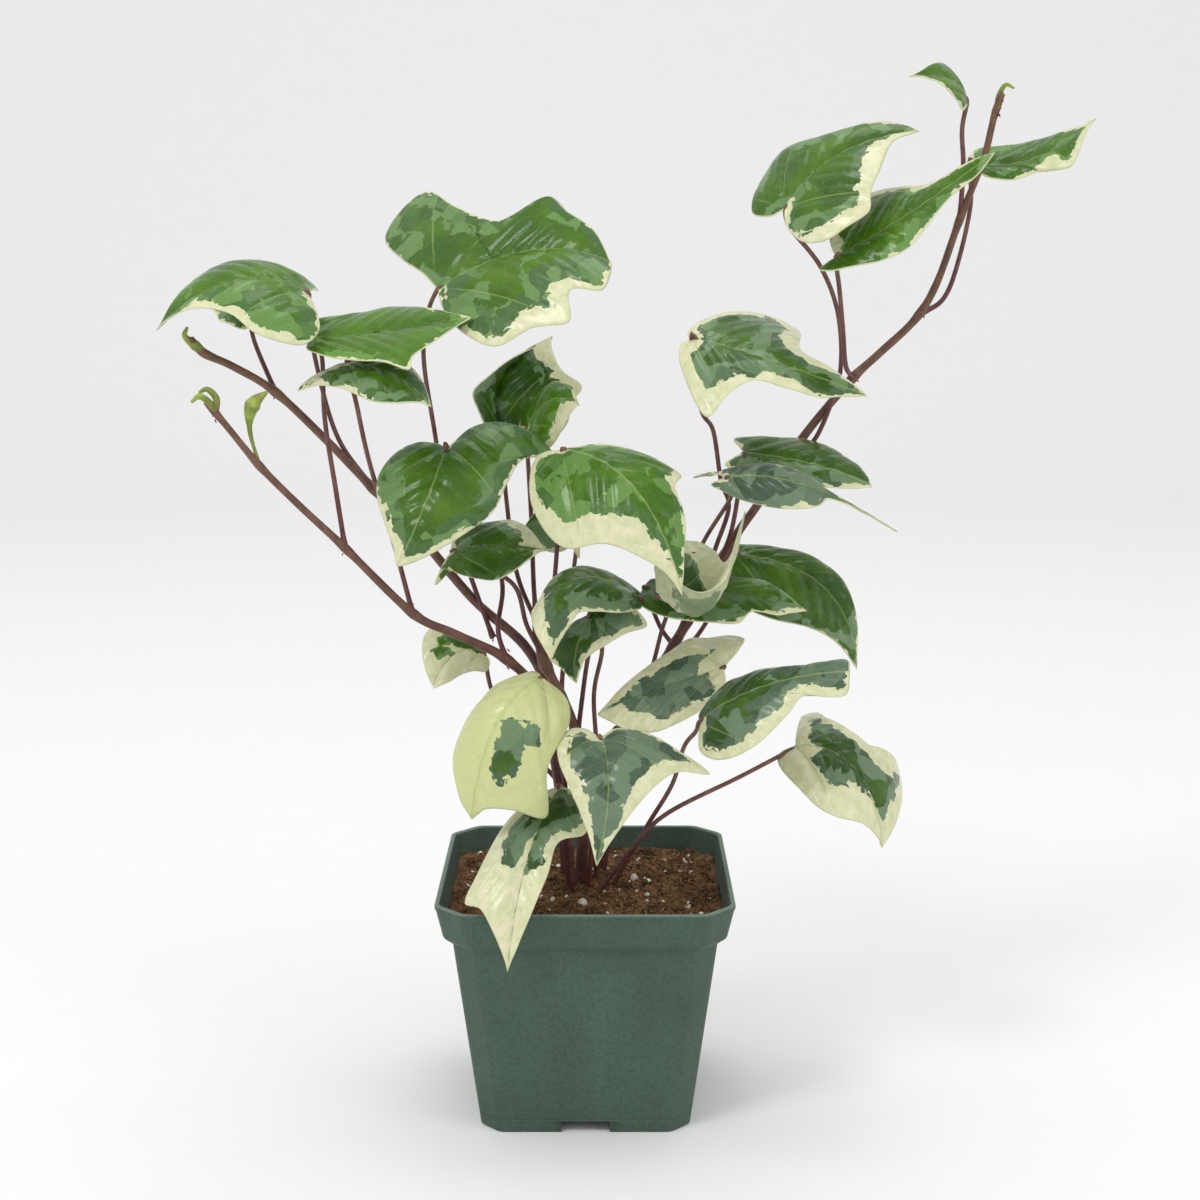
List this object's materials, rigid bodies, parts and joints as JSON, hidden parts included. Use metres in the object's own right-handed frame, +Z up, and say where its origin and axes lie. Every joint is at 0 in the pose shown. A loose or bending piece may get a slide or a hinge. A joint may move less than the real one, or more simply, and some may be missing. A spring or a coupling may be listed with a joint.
{
  "type": "potted ivy plant",
  "caption": "Variegated large-leaved ivy with cream-edged green leaves on brown vines, growing in a square green plastic nursery pot that stands on a raised, notched foot.",
  "frame": {"origin": "The centre of the square of ground that the pot's foot stands on.", "axes": "+Z is up. The pot's sides face +X, -X, +Y and -Y. The long vine with the crown of leaves leans towards +X, and the two low vines lean towards -X."},
  "size_m": [0.324, 0.1185, 0.3734],
  "materials": {
    "pot_plastic": "matte",
    "potting_soil": "matte",
    "vine_bark": "satin",
    "green_leaf": "satin",
    "cream_leaf": "satin",
    "young_shoot": "satin"
  },
  "bodies": {
    "root": {"pot": "pot_plastic", "soil": "potting_soil", "vine_left_low": "vine_bark", "vine_left_high": "vine_bark", "vine_right": "vine_bark", "stem_centre": "vine_bark", "leaf_far_left": "green_leaf", "leaf_far_left_back": "green_leaf", "leaf_left_upper": "green_leaf", "leaf_left_curled": "green_leaf", "leaf_top_centre": "green_leaf", "leaf_centre_back": "green_leaf", "leaf_centre_young": "green_leaf", "leaf_centre_left": "green_leaf", "leaf_centre_large": "green_leaf", "leaf_under_left": "green_leaf", "leaf_under_centre": "green_leaf", "leaf_pale_left": "cream_leaf", "leaf_pale_front": "cream_leaf", "leaf_grey_front": "green_leaf", "leaf_over_rim": "green_leaf", "leaf_rolled": "green_leaf", "leaf_folded": "green_leaf", "leaf_cupped": "green_leaf", "leaf_right_under": "green_leaf", "leaf_right_arching": "green_leaf", "leaf_right_low_back": "green_leaf", "leaf_right_low": "green_leaf", "leaf_right_drooping": "green_leaf", "leaf_right_cream": "green_leaf", "leaf_right_middle": "green_leaf", "leaf_right_tailed": "green_leaf", "leaf_crown_large": "green_leaf", "leaf_crown_twisted": "green_leaf", "leaf_crown_right": "green_leaf", "leaf_crown_young": "green_leaf", "bud_left_high": "young_shoot", "bud_left_low": "young_shoot", "bud_left_stalked": "young_shoot", "bud_right": "young_shoot"}
  },
  "joints": []
}
